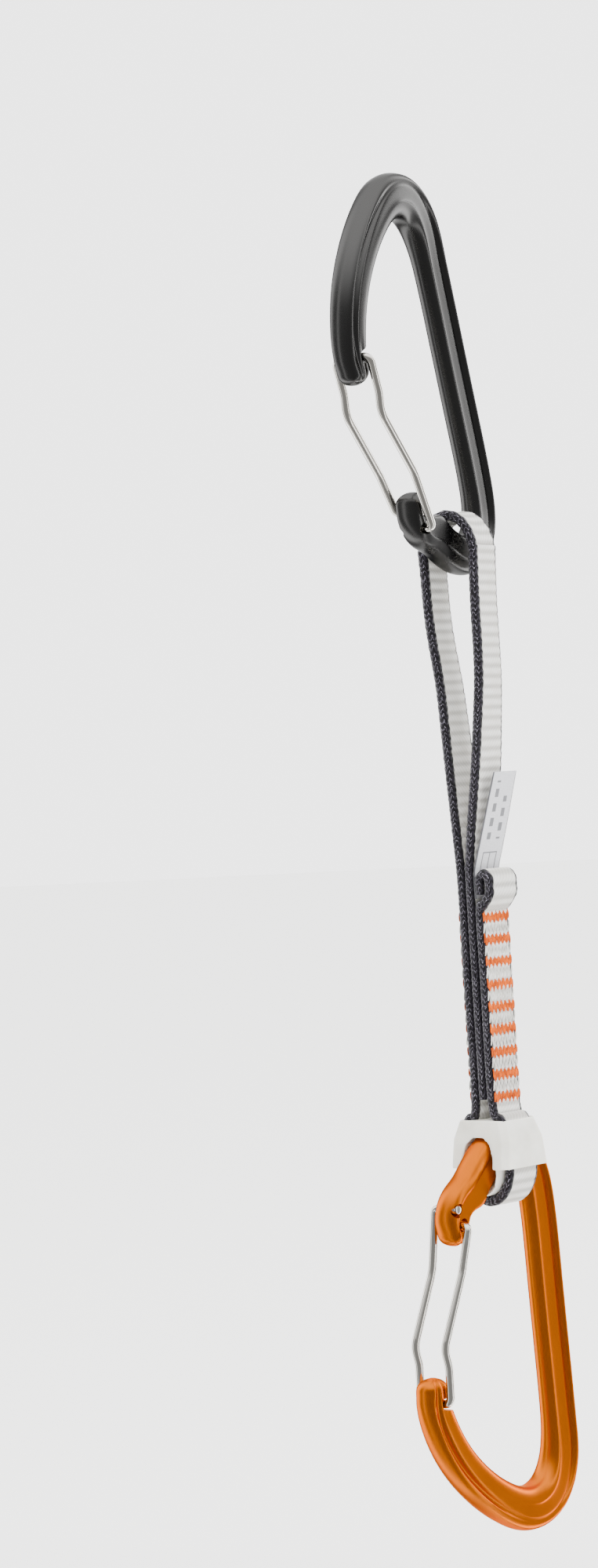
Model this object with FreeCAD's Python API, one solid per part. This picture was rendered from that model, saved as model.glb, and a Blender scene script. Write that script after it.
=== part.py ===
import FreeCAD, Part
import math
import os

V = FreeCAD.Vector
os.makedirs("parts", exist_ok=True)

# ---------------------------------------------------------------- frame
# World: +Z up, carabiner planes near XZ, spines toward +X, gates toward -X.
# Origin: the point where the anchor carries the quickdraw (inside of the upper wide basket).
# Clip frame: origin at the first wire hole, +X toward the spine, +Z toward the sling end.

# ---------------------------------------------------------------- driving dimensions (mm, degrees)
UPPER_TILT = 16.5            # lean of the anchor carabiner, seen from -Y
LOWER_TILT = 3.0             # lean of the rope carabiner inside its keeper
LOWER_TWIST = -11.0          # turn of the rope end about the sling's length
SLING_DROP = 149.3           # from the upper bar centre down to the lower bar centre

ANCHOR_SEAT = (21.5, -73.4)  # inside of the wide basket, clip frame
UPPER_BAR = (18.8, 12.0)     # bar centre under the sling, upper clip
LOWER_BAR = (20.6, 12.1)     # bar centre inside the keeper, lower clip

GATE_OPEN = 28.0             # full travel of a wire gate
WIRE_D = 2.1
LEG_Y = 4.95                 # half distance between the gate legs
HOLE_FAR = (0.0, 0.0)        # the leg from the +Y side ends here
HOLE_NEAR = (0.8, -4.3)      # the leg from the -Y side ends here
HOLE_GAP = 0.32
NOTCH_GAP = 0.38
HEAD_D = 2.3
WIRE_END = 2.6               # depth of the wire ends past mid thickness
CROSSBAR = (-11.9, -46.0)    # end loop of the wire, seated in the nose notch

WEB_W = 11.0                 # webbing width
WEB_T = 2.6                  # webbing thickness
LAYER = 2.75                 # pitch of the sewn layers
ARCH_Y = 7.2                 # half gap of the open loop at its top, to mid webbing
ARCH_H = 10.0                # rise of the open loop above the upper bar centre
ARCH_SHIFT = -2.0            # the open loop sits this far off the sling's centre line, clear of the spine
SHIFT_FROM = -118.0
SHIFT_TO = -94.0
SEWN_TOP = -165.0
FOLD_Z = -164.5              # centre of the rolled fold at the top of the front layer
FOLD_R = 1.55
SEWN_END = -220.5
LOOP_Y = 7.1                 # half gap of the closed end loop, to mid webbing
LOOP_DROP = 13.2             # end loop below the lower bar centre, to mid webbing
LOOP_START = 4.3             # end loop's straight sides stop this far below the bar centre
TWIST_FROM = -100.0
TWIST_TO = -160.0

TACKS = 9
TACK_TOP = -173.8
TACK_PITCH = 5.65
TACK_H = 2.5
TACK_W = 9.6
TACK_T = 0.35

LABEL_W = 9.5
LABEL_T = 0.3

# Collar of the keeper: half width, half depth, height from the lower bar centre
KEEPER_RINGS = [(6.9, 7.6, 7.3), (7.9, 9.3, 2.5), (8.8, 9.6, -4.7)]
CORE_HALF_X = 7.6
KEEPER_GAP = 0.15
BAR_PLAY = 5.0               # swing the keeper lets the rope carabiner make
BAR_GAP = 0.45

# Centreline of the forged body from the hinge to the nose:
# (x, z, width in plane, thickness, channel depth per side as a part of thickness)
STATIONS = [
    (0.5, -6.2, 6.6, 7.1, 0.00),
    (0.5, -3.0, 7.8, 7.1, 0.00),
    (2.6, 0.9, 8.6, 7.1, 0.01),
    (6.7, 3.5, 9.2, 7.1, 0.05),
    (11.0, 7.0, 9.4, 7.4, 0.06),
    (15.2, 10.2, 9.7, 7.6, 0.05),
    (20.0, 12.1, 10.0, 7.6, 0.04),
    (25.0, 11.3, 9.8, 7.6, 0.07),
    (29.2, 8.2, 9.6, 7.4, 0.12),
    (31.8, 2.6, 9.6, 7.2, 0.16),
    (32.8, -5.0, 9.7, 7.0, 0.19),
    (33.0, -20.0, 9.8, 7.0, 0.20),
    (33.0, -40.0, 9.8, 7.0, 0.20),
    (32.9, -60.0, 9.9, 7.2, 0.20),
    (31.4, -70.5, 10.8, 8.2, 0.17),
    (26.2, -77.6, 11.5, 8.8, 0.13),
    (18.6, -79.6, 11.4, 8.8, 0.12),
    (9.8, -76.4, 10.4, 8.4, 0.12),
    (0.6, -69.5, 9.6, 8.0, 0.12),
    (-6.8, -61.0, 9.2, 7.6, 0.10),
    (-11.4, -52.0, 8.9, 7.2, 0.05),
    (-12.9, -45.6, 8.6, 7.1, 0.00),
    (-12.9, -42.6, 8.0, 7.0, 0.00),
]
SECTION_STEP = 3.6
HALF_POINTS = 11             # points along each half of a section
CAP = 3.1                    # length of the rounded ends

GATE_BOW = (-3.1, -14.9)
GATE_KNEE = (-12.3, -32.2)
GATE_SHIN = (-11.3, -37.0)


# ---------------------------------------------------------------- helpers
def at(plan, y=0.0):
    return V(plan[0], y, plan[1])


def smooth(a, b, f):
    g = f * f * (3.0 - 2.0 * f)
    return a + (b - a) * g


def spline(points, start=None, end=None):
    curve = Part.BSplineCurve()
    if start is None:
        curve.interpolate(points)
    else:
        curve.interpolate(Points=points, InitialTangent=start, FinalTangent=end)
    return curve


def rounded_path(points, radii):
    """Lines through the points with each inner corner turned by an arc of the given radius."""
    edges = []
    last = points[0]
    for i in range(1, len(points) - 1):
        corner = points[i]
        back = (points[i - 1] - corner).normalize()
        ahead = (points[i + 1] - corner).normalize()
        half = back.getAngle(ahead) / 2.0
        reach = radii[i - 1] / math.tan(half)
        a = corner + back * reach
        b = corner + ahead * reach
        middle = (back + ahead).normalize()
        top = corner + middle * (radii[i - 1] / math.sin(half) - radii[i - 1])
        edges.append(Part.makeLine(last, a))
        edges.append(Part.Arc(a, top, b).toShape())
        last = b
    edges.append(Part.makeLine(last, points[-1]))
    return Part.Wire(edges)


def pipe(path, radius):
    start = path.Edges[0]
    direction = start.tangentAt(start.FirstParameter)
    circle = Part.Wire([Part.makeCircle(radius, path.Edges[0].Vertexes[0].Point, direction)])
    return path.makePipeShell([circle], True, True)


def rod(plan, y0, y1, radius):
    return Part.makeCylinder(radius, y1 - y0, at(plan, y0), V(0, 1, 0))


def turned(plan, angle):
    """A clip-frame point carried round the gate axis by the opening angle."""
    dx = plan[0] - GATE_AXIS[0]
    dz = plan[1] - GATE_AXIS[1]
    c = math.cos(math.radians(angle))
    s = math.sin(math.radians(angle))
    return (GATE_AXIS[0] + c * dx - s * dz, GATE_AXIS[1] + s * dx + c * dz)


GATE_AXIS = ((HOLE_FAR[0] + HOLE_NEAR[0]) / 2.0, (HOLE_FAR[1] + HOLE_NEAR[1]) / 2.0)


# ---------------------------------------------------------------- carabiner body
def profile(centre, along, width, thick, depth, grow=1.0):
    """Forged section: broad inner flange, channel each side, narrower outer rim."""
    out = V(-along.z, 0, along.x) * (width * grow)
    side = V(0, thick * grow, 0)
    floor = 0.5 - depth
    rim = 0.40 + 0.07 * (1.0 - min(1.0, depth / 0.2))
    shape = [(0.5, 0.0), (0.475, 0.22), (0.39, rim), (0.27, (rim + floor) / 2.0), (0.13, floor),
             (-0.04, floor), (-0.17, (0.49 + floor) / 2.0), (-0.30, 0.49), (-0.44, 0.33), (-0.5, 0.0)]
    ring = []
    for sign in (1.0, -1.0):
        pts = [centre + out * n + side * (sign * y) for n, y in shape]
        lift = V(0, sign, 0) * (thick * grow)
        half = spline(pts, lift, lift * -1.0).discretize(Number=HALF_POINTS)
        ring += half[:-1] if sign > 0 else half[:0:-1]
    return Part.makePolygon(ring + ring[:1])


def carabiner_blank():
    centre = spline([at(s) for s in STATIONS])
    params = [centre.parameter(at(s)) for s in STATIONS]
    rings = []

    def add(point, along, station, grow=1.0):
        rings.append(profile(point, along, station[2], station[3], station[4], grow))

    def cap(param, station, sign):
        point = centre.value(param)
        along = centre.tangent(param)[0]
        for f in (0.97, 0.86, 0.66, 0.36):
            add(point + along * (sign * CAP * f), along, station, math.sqrt(1.0 - f * f))

    cap(params[0], STATIONS[0], -1.0)
    for i in range(len(STATIONS) - 1):
        a, b = STATIONS[i], STATIONS[i + 1]
        span = math.hypot(b[0] - a[0], b[1] - a[1])
        count = max(1, round(span / SECTION_STEP))
        for k in range(count):
            f = k / count
            p = params[i] + (params[i + 1] - params[i]) * f
            mix = [smooth(a[j], b[j], f) for j in range(5)]
            add(centre.value(p), centre.tangent(p)[0], mix)
    add(centre.value(params[-1]), centre.tangent(params[-1])[0], STATIONS[-1])
    last = len(rings)
    cap(params[-1], STATIONS[-1], 1.0)
    rings[last:] = rings[last:][::-1]
    return Part.makeLoft(rings, True, True)


def wire_holes():
    """Slots for the two turned-in wire ends, with a recess at each exit."""
    cuts = []
    steps = 5
    for plan, exit_side in ((HOLE_FAR, -1.0), (HOLE_NEAR, 1.0)):
        for k in range(steps):
            spot = turned(plan, GATE_OPEN * k / (steps - 1))
            cuts.append(rod(spot, -6.0, 6.0, WIRE_D / 2.0 + HOLE_GAP))
            a, b = sorted((exit_side * (WIRE_END - HOLE_GAP), exit_side * 6.0))
            cuts.append(rod(spot, a, b, HEAD_D / 2.0 + HOLE_GAP))
    return cuts


def nose_notch():
    """The path of the gate's end loop out of the nose."""
    reach = math.hypot(CROSSBAR[0] - GATE_AXIS[0], CROSSBAR[1] - GATE_AXIS[1])
    r = WIRE_D / 2.0 + NOTCH_GAP
    sweep = 16.0
    base = at(GATE_AXIS, -7.0)
    ring = Part.makeCylinder(reach + r, 14.0, base, V(0, 1, 0), sweep)
    ring = ring.cut(Part.makeCylinder(reach - r, 14.0, base, V(0, 1, 0), 360.0)).Solids[0]
    start = math.degrees(math.atan2(CROSSBAR[1] - GATE_AXIS[1], CROSSBAR[0] - GATE_AXIS[0]))
    probe = ring.CenterOfMass
    now = math.degrees(math.atan2(probe.z - GATE_AXIS[1], probe.x - GATE_AXIS[0]))
    ring.rotate(base, V(0, -1, 0), start + sweep / 2.0 - now)
    return [ring, rod(CROSSBAR, -7.0, 7.0, r)]


def carabiner_body():
    body = carabiner_blank()
    holes = wire_holes()
    return body.cut(holes[0].multiFuse(holes[1:]).removeSplitter()).cut(nose_notch())


def gate_wire():
    """One length of wire: hole, leg, end loop, leg, hole."""
    end = WIRE_END
    pts = [at(HOLE_FAR, -end), at(HOLE_FAR, LEG_Y), at(GATE_BOW, LEG_Y), at(GATE_KNEE, LEG_Y),
           at(GATE_SHIN, LEG_Y), at(CROSSBAR, LEG_Y), at(CROSSBAR, -LEG_Y), at(GATE_SHIN, -LEG_Y),
           at(GATE_KNEE, -LEG_Y), at(GATE_BOW, -LEG_Y), at(HOLE_NEAR, -LEG_Y), at(HOLE_NEAR, end)]
    radii = [1.3, 14.0, 5.5, 8.0, 2.0, 2.0, 8.0, 5.5, 14.0, 1.3]
    wire = pipe(rounded_path(pts, radii), WIRE_D / 2.0)
    heads = [rod(HOLE_FAR, -end - 0.45, -end + 0.1, HEAD_D / 2.0),
             rod(HOLE_NEAR, end - 0.1, end + 0.45, HEAD_D / 2.0)]
    return wire.fuse(heads).removeSplitter()


# ---------------------------------------------------------------- placing the two clips
def tilt_point(plan, tilt, flip):
    z = -plan[1] if flip else plan[1]
    c, s = math.cos(math.radians(tilt)), math.sin(math.radians(tilt))
    return V(c * plan[0] - s * z, 0, s * plan[0] + c * z)


UPPER_ORIGIN = tilt_point(ANCHOR_SEAT, UPPER_TILT, True) * -1.0
UPPER_BAR_AT = UPPER_ORIGIN + tilt_point(UPPER_BAR, UPPER_TILT, True)
LOWER_BAR_AT = UPPER_BAR_AT - V(0, 0, SLING_DROP)


def place_upper(shape):
    shape = shape.copy()
    shape.rotate(V(0, 0, 0), V(1, 0, 0), 180)
    shape.rotate(V(0, 0, 0), V(0, -1, 0), UPPER_TILT)
    shape.translate(UPPER_ORIGIN)
    return shape


def place_lower(shape):
    shape = shape.copy()
    shape.rotate(V(0, 0, 0), V(0, -1, 0), LOWER_TILT)
    shape.translate(tilt_point(LOWER_BAR, LOWER_TILT, False) * -1.0)
    return place_end(shape)


def place_end(shape):
    """From the frame of the sling's closed end (origin at the lower bar centre) to the world."""
    shape = shape.copy()
    shape.rotate(V(0, 0, 0), V(0, 0, 1), LOWER_TWIST)
    shape.translate(LOWER_BAR_AT)
    return shape


# ---------------------------------------------------------------- webbing
def twist_at(z):
    f = (z - TWIST_FROM) / (TWIST_TO - TWIST_FROM)
    return LOWER_TWIST * smooth(0.0, 1.0, min(1.0, max(0.0, f)))


def ribbon(path, width, thick, shift=None, twisted=True):
    """Flat strip through (y, z) path points; its width runs along X, turned by the local twist."""
    rings = []
    for i, (y, z) in enumerate(path):
        a = path[max(0, i - 1)]
        b = path[min(len(path) - 1, i + 1)]
        length = math.hypot(b[0] - a[0], b[1] - a[1])
        ny, nz = -(b[1] - a[1]) / length, (b[0] - a[0]) / length
        x = shift[i] if shift else 0.0
        angle = math.radians(twist_at(z)) if twisted else 0.0
        ring = []
        for w, t in ((-1, -1), (1, -1), (1, 1), (-1, 1)):
            px = x + w * width / 2.0
            py = y + ny * t * thick / 2.0
            pz = z + nz * t * thick / 2.0
            ring.append(V(math.cos(angle) * px - math.sin(angle) * py,
                          math.sin(angle) * px + math.cos(angle) * py, pz))
        rings.append(Part.makePolygon(ring + ring[:1]))
    strip = Part.makeLoft(rings, True, True)
    if strip.Volume < 0:
        strip.reverse()
    if twisted:
        strip.translate(V(UPPER_BAR_AT.x, 0, 0))
    return strip


def half_ellipse(cy, cz, ry, rz, start, stop, count):
    pts = []
    for k in range(count + 1):
        a = math.radians(start + (stop - start) * k / count)
        pts.append((cy + ry * math.cos(a), cz + rz * math.sin(a)))
    return pts


def end_loop_path():
    """Closed end of the sling, in the lower bar frame, from -Y round to +Y."""
    arc = half_ellipse(0, -LOOP_START, LOOP_Y, LOOP_DROP - LOOP_START, 180, 360, 16)
    side = [(5.3, 7.3), (6.6, 4.6), (LOOP_Y, 1.8)]
    return [(-y, z) for y, z in side] + arc + side[::-1]


def sling_path():
    lower = [(y, z + LOWER_BAR_AT.z) for y, z in end_loop_path()]
    ply_y = -LAYER - 0.45
    front_y = ply_y - 2 * FOLD_R
    fold = half_ellipse(ply_y - FOLD_R, FOLD_Z, FOLD_R, FOLD_R, 0, 180, 8)
    arch = half_ellipse(0, UPPER_BAR_AT.z, ARCH_Y, ARCH_H, 0, 180, 18)
    path = [(ply_y, FOLD_Z - 3.5)] + fold
    path += [(front_y, FOLD_Z - 3.0), (front_y + 0.7, FOLD_Z - 4.2), (-LAYER - 1.2, FOLD_Z - 6.2)]
    path += [(-LAYER, FOLD_Z - 7.8), (-LAYER, -190.0), (-LAYER, SEWN_END)]
    path += lower
    path += [(LAYER, SEWN_END), (LAYER, -190.0), (LAYER, SEWN_TOP)]
    path += [(3.6, -150.0), (4.6, -135.0), (5.6, -118.0), (6.6, -102.0)]
    path += arch
    path += [(-6.6, -102.0), (-5.4, -118.0), (-3.8, -135.0), (-1.7, -150.0), (-0.3, -160.0)]
    path += [(0.0, SEWN_TOP + 1.0), (0.0, -190.0), (0.0, SEWN_END + 1.0)]
    return path


def arch_shift(z):
    f = (z - SHIFT_FROM) / (SHIFT_TO - SHIFT_FROM)
    return ARCH_SHIFT * smooth(0.0, 1.0, min(1.0, max(0.0, f)))


def webbing():
    path = sling_path()
    return ribbon(path, WEB_W, WEB_T, [arch_shift(z) for y, z in path])


def bar_tacks():
    """Stitched bars on both faces of the sewn layers."""
    bars = []
    face = LAYER + WEB_T / 2.0 + 0.02
    for k in range(TACKS):
        z = TACK_TOP - k * TACK_PITCH
        for side in (-1.0, 1.0):
            y = side * face if side > 0 else side * face - TACK_T
            box = Part.makeBox(TACK_W, TACK_T, TACK_H, V(-TACK_W / 2.0, y, z - TACK_H / 2.0))
            box.rotate(V(0, 0, 0), V(0, 0, 1), LOWER_TWIST)
            box.translate(V(UPPER_BAR_AT.x, 0, 0))
            bars.append(box)
    return Part.makeCompound(bars)


def label():
    path = [(-1.6, -169.0), (-1.6, -164.0), (-2.0, -161.2), (-3.3, -156.5), (-5.2, -149.0),
            (-7.4, -139.0), (-9.0, -130.0)]
    shift = [0.0, 0.0, 0.2, 0.6, 1.4, 2.5, 3.4]
    return ribbon(path, LABEL_W, LABEL_T, shift)


# ---------------------------------------------------------------- keeper
def octagon(half_x, half_y, z, chamfer=1.6):
    a, b, c = half_x, half_y, chamfer
    pts = [(-a + c, -b), (a - c, -b), (a, -b + c), (a, b - c),
           (a - c, b), (-a + c, b), (-a, b - c), (-a, -b + c)]
    ring = [V(x, y, z) for x, y in pts]
    return Part.makePolygon(ring + ring[:1])


def keeper():
    """Moulded rubber: a collar round the webbing and a core inside its end loop."""
    collar = Part.makeLoft([octagon(*ring) for ring in KEEPER_RINGS], True, True)
    inner_y = LOOP_Y - WEB_T / 2.0 - KEEPER_GAP
    inner_z = LOOP_DROP - LOOP_START - WEB_T / 2.0 - KEEPER_GAP
    arc = half_ellipse(0, -LOOP_START, inner_y, inner_z, 180, 360, 16)
    outline = [V(-CORE_HALF_X, y, z) for y, z in [(-inner_y, 0.0)] + arc + [(inner_y, 0.0)]]
    core = Part.Face(Part.makePolygon(outline + outline[:1])).extrude(V(2 * CORE_HALF_X, 0, 0))
    block = collar.fuse(core)
    for sign in (1.0, -1.0):
        path = [(4.6, 9.6), (5.3, 7.3), (6.6, 4.6), (LOOP_Y, 1.8), (LOOP_Y, -LOOP_START - 2.0)]
        path = [(y * sign, z) for y, z in path]
        block = block.cut(ribbon(path, WEB_W + 2 * KEEPER_GAP, WEB_T + 2 * KEEPER_GAP, twisted=False))
    return place_end(block.cut(bar_channel()))


def bar_channel():
    """Room for the rope carabiner's bar through its small swing, following the bar's bend."""
    play = math.sin(math.radians(BAR_PLAY))
    curve = spline([at(s) for s in STATIONS])
    params = [curve.parameter(at(s)) for s in STATIONS]
    rings = []
    for i in range(3, 10):
        for half in (0.0, 0.5):
            p = params[i] + (params[i + 1] - params[i]) * half
            centre, along = curve.value(p), curve.tangent(p)[0]
            width = STATIONS[i][2] + (STATIONS[i + 1][2] - STATIONS[i][2]) * half
            thick = STATIONS[i][3] + (STATIONS[i + 1][3] - STATIONS[i][3]) * half
            a = width / 2.0 + BAR_GAP + play * thick / 2.0
            b = thick / 2.0 + BAR_GAP + play * (abs(centre.z - LOWER_BAR[1]) + width / 2.0)
            ring = []
            for k in range(12):
                c, d = math.cos(math.radians(15 + 30 * k)), math.sin(math.radians(15 + 30 * k))
                n = math.copysign(abs(c) ** 0.77, c) * a * 1.03
                y = math.copysign(abs(d) ** 0.77, d) * b * 1.03
                ring.append(centre + V(-along.z, 0, along.x) * n + V(0, y, 0))
            rings.append(Part.makePolygon(ring + ring[:1]))
    tube = Part.makeLoft(rings, True, True)
    if tube.Volume < 0:
        tube.reverse()
    tube.rotate(V(0, 0, 0), V(0, -1, 0), LOWER_TILT)
    tube.translate(tilt_point(LOWER_BAR, LOWER_TILT, False) * -1.0)
    return tube


# ---------------------------------------------------------------- write the parts
def save(name, shape):
    shape.exportStep("parts/" + name + ".step")


body = carabiner_body()
gate = gate_wire()

save("anchor_carabiner_body", place_upper(body))
save("anchor_gate_wire", place_upper(gate))
save("sling_webbing", webbing())
save("sling_bar_tacks", bar_tacks())
save("sling_label", label())
save("rubber_keeper", keeper())
save("rope_carabiner_body", place_lower(body))
save("rope_gate_wire", place_lower(gate))
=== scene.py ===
import bmesh
import bpy
import math
import random
import numpy as np
from mathutils import Matrix, Vector


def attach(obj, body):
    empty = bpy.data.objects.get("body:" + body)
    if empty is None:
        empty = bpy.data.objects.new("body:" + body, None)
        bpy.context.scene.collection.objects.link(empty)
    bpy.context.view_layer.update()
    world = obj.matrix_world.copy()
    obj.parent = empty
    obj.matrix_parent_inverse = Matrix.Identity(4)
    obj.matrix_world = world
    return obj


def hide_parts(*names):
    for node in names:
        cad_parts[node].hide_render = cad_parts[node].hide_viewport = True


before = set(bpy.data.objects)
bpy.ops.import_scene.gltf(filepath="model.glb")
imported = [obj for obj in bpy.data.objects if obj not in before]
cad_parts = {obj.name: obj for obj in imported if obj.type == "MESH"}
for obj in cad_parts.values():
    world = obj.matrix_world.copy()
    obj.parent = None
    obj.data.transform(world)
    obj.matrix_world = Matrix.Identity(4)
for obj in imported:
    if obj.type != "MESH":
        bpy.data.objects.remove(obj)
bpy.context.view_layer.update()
random.seed(7)

# Shapes are worked out in millimetres and degrees, and become metres as their meshes are made.
MM = 0.001

# ------------------------------------------------------------ dimensions shared with the CAD
# Where the clips sit: their tilts, the upper one's origin, and the middles of the two sling bars.
# LOWER_BAR is the lower one's place in its clip's own plane.
UPPER_TILT, LOWER_TILT, LOWER_TWIST = 16.5, 3.0, -11.0
UPPER_ORIGIN = Vector((0.2321, 0.0, -76.4837))
UPPER_BAR_AT = Vector((21.6661, 0.0, -82.65))
LOWER_BAR_AT = Vector((21.6661, 0.0, -231.95))
LOWER_BAR = (20.6, 12.1)

# The gate, in its clip's plane, with x across and z along it: how far it opens and about where,
# its two holes with the side each wire end comes out of, and the wire's bends. LEG_Y is how far
# the wire's legs lie from the middle plane, and WIRE_END how far its ends reach past it.
GATE_OPEN = 28.0
GATE_AXIS = (0.4, -2.15)
HOLES = ((0.0, 0.0, -1.0), (0.8, -4.3, 1.0))
GATE_BENDS = ((-3.1, -14.9), (-12.3, -32.2), (-11.3, -37.0))
CROSSBAR = (-11.9, -46.0)
BEND_RADII = (1.3, 14.0, 5.5, 8.0, 2.0)
WIRE_R, WIRE_END, LEG_Y = 1.05, 2.6, 4.95
HEAD_R = 1.15
# The room round the wire and its heads, where the recesses' floors lie, and the nose's notch
HOLE_GAP, RECESS_FLOOR = 0.32, 2.28
NOTCH_GAP, NOTCH_SWEEP = 0.38, 17.0
HOLE_CUT, NOTCH_CUT = 6.0, 7.0  # how far the cuts reach to each side

# Bent bar from hinge end to nose: x, z, width, thickness
STATIONS = np.array([
    (0.5, -6.2, 6.6, 7.1), (0.5, -3.0, 7.8, 7.1), (2.6, 0.9, 8.6, 7.1), (6.7, 3.5, 9.2, 7.1),
    (11.0, 7.0, 9.4, 7.4), (15.2, 10.2, 9.7, 7.6), (20.0, 12.1, 10.0, 7.6),
    (25.0, 11.3, 9.8, 7.6), (29.2, 8.2, 9.6, 7.4), (31.8, 2.6, 9.6, 7.2), (32.8, -5.0, 9.7, 7.0),
    (33.0, -20.0, 9.8, 7.0), (33.0, -40.0, 9.8, 7.0), (32.9, -60.0, 9.9, 7.2),
    (31.4, -70.5, 10.8, 8.2), (26.2, -77.6, 11.5, 8.8), (18.6, -79.6, 11.4, 8.8),
    (9.8, -76.4, 10.4, 8.4), (0.6, -69.5, 9.6, 8.0), (-6.8, -61.0, 9.2, 7.6),
    (-11.4, -52.0, 8.9, 7.2), (-12.9, -45.6, 8.6, 7.1), (-12.9, -42.6, 8.0, 7.0)])
CAP = 3.1                       # length of each rounded end

# The sling: spacing of its sewn layers, its webbing, the folded end, the sewn part's heights, the
# closed loop round the lower bar, and the open loop's arch over the upper bar
LAYER, WEB_W, WEB_T = 2.75, 11.0, 2.6
FOLD_Z, FOLD_R = -164.5, 1.55
SEWN_TOP, SEWN_MID, SEWN_END = -165.0, -190.0, -220.5
LOOP_Y, LOOP_DROP, LOOP_START = 7.1, 13.2, 4.3
ARCH_Y, ARCH_H, ARCH_SHIFT = 7.2, 10.0, -2.0

# ------------------------------------------------------------ dimensions of the detail
BODY_RINGS = 400
SHARP_ANGLE = 34.0
SHOULDER_PAST, SHOULDER_SPREAD = 0.6, 1.9   # the inner shoulder, past the fourth station
HEAD_DOME = ((-0.1, HEAD_R), (0.12, HEAD_R), (0.30, 1.08), (0.40, 0.86), (0.45, 0.5))
RIB_PITCH, RIB_H = 2.6, 0.10
CORD_PITCH, CORD_SLOW_PITCH = 1.32, 3.1
WEB_CORNER, WEB_STEP = 1.2, 0.33
TAG_W, TAG_T, TAG_CORNER, TAG_STEP = 9.5, 0.3, 0.15, 0.5
KEEPER_GRAIN = 0.26             # the keeper's edges are softened at about this size

# Half section: place across, from -0.5 inside to 0.5 outside, and height as a share of half the
# thickness
SECTIONS = {
    "hinge": ((-.5, 0), (-.496, .42), (-.48, .68), (-.43, .785), (-.32, .79), (-.12, .79),
              (.065, .79), (.10, .82), (.145, .975), (.25, 1.0), (.43, .74), (.5, 0)),
    "bar": ((-.5, 0), (-.485, .40), (-.44, .66), (-.36, .86), (-.26, .95), (-.12, .985),
            (.06, .985), (.13, .975), (.20, .97), (.30, .93), (.44, .66), (.5, 0)),
    "spine": ((-.5, 0), (-.482, .27), (-.43, .53), (-.355, .74), (-.30, .755), (-.245, .60),
              (.18, .60), (.245, .47), (.31, .80), (.375, .90), (.455, .64), (.5, 0)),
    "wide": ((-.5, 0), (-.482, .38), (-.42, .68), (-.30, .90), (-.15, .975), (-.085, .925),
             (.14, .945), (.20, .93), (.245, .86), (.345, .82), (.45, .55), (.5, 0)),
    "arm": ((-.5, 0), (-.485, .40), (-.43, .70), (-.33, .90), (-.20, .97), (-.02, .965),
            (.09, .90), (.165, .64), (.245, .68), (.325, .91), (.44, .66), (.5, 0)),
    "nose": ((-.5, 0), (-.48, .40), (-.40, .72), (-.29, .86), (-.17, .97), (-.06, .90),
             (.06, .98), (.17, .84), (.27, .90), (.36, .80), (.455, .52), (.5, 0)),
}
# How much of which sections each station has
STYLE = ([{"hinge": 1}] * 3
         + [{"hinge": .9, "bar": .1}, {"hinge": .5, "bar": .5}, {"hinge": .15, "bar": .85}]
         + [{"bar": 1}, {"bar": .8, "spine": .2}, {"bar": .3, "spine": .7}]
         + [{"spine": 1}] * 5
         + [{"spine": .72, "wide": .28}, {"wide": .82, "spine": .18}, {"wide": 1}]
         + [{"wide": .6, "arm": .4}, {"arm": .9, "wide": .1}, {"arm": 1}]
         + [{"arm": .95, "nose": .05}, {"arm": .3, "nose": .7}, {"nose": 1}])
EASED = slice(3, 20)            # stations whose sections are averaged with their neighbours'


# ------------------------------------------------------------ curves
def natural_spline(pts):
    """Smooth curve through the points, as its knots and a function that gives place and heading."""
    pts = np.asarray(pts, float)
    t = np.r_[0, np.cumsum(np.linalg.norm(np.diff(pts, axis=0), axis=1))]
    n = len(pts)
    h = np.diff(t)
    a = np.zeros((n, n))
    b = np.zeros(pts.shape)
    a[0, 0] = a[-1, -1] = 1.0
    for i in range(1, n - 1):
        a[i, i - 1], a[i, i], a[i, i + 1] = h[i - 1], 2 * (h[i - 1] + h[i]), h[i]
        b[i] = 6 * ((pts[i + 1] - pts[i]) / h[i] - (pts[i] - pts[i - 1]) / h[i - 1])
    m = np.linalg.solve(a, b)

    def value(q):
        i = int(min(max(np.searchsorted(t, q) - 1, 0), n - 2))
        u, v = q - t[i], t[i + 1] - q
        p = ((m[i] * v**3 + m[i + 1] * u**3) / (6 * h[i])
             + (pts[i] / h[i] - m[i] * h[i] / 6) * v
             + (pts[i + 1] / h[i] - m[i + 1] * h[i] / 6) * u)
        d = ((m[i + 1] * u**2 - m[i] * v**2) / (2 * h[i]) + (pts[i + 1] - pts[i]) / h[i]
             - (m[i + 1] - m[i]) * h[i] / 6)
        return p, d / np.linalg.norm(d)
    return t, value


def catmull(a, b, c, d, u):
    """The Catmull-Rom curve between b and c, at u from 0 to 1."""
    return 0.5 * (2 * b + (c - a) * u + (2 * a - 5 * b + 4 * c - d) * u * u
                  + (3 * b - a - 3 * c + d) * u**3)


def through(points, steps, square_ends=False):
    """Denser points on a curve through 2-D points; it can leave both ends square to the axis."""
    p = np.asarray(points, float)
    if square_ends:
        first, last = p[1] * (1, -1), p[-2] * (1, -1)
    else:
        first, last = 2 * p[0] - p[1], 2 * p[-1] - p[-2]
    q = np.vstack([first, p, last])
    out = [catmull(*q[i - 1:i + 3], k / steps) for i in range(1, len(q) - 2) for k in range(steps)]
    return np.array(out + [p[-1]])


def resample(points, step):
    """Evenly spaced points on the curve, with their distances along it."""
    p = through(points, 12)
    d = np.r_[0, np.cumsum(np.linalg.norm(np.diff(p, axis=0), axis=1))]
    n = max(2, int(d[-1] / step))
    s = np.linspace(0, d[-1], n + 1)
    return s, np.c_[np.interp(s, d, p[:, 0]), np.interp(s, d, p[:, 1])]


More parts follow.
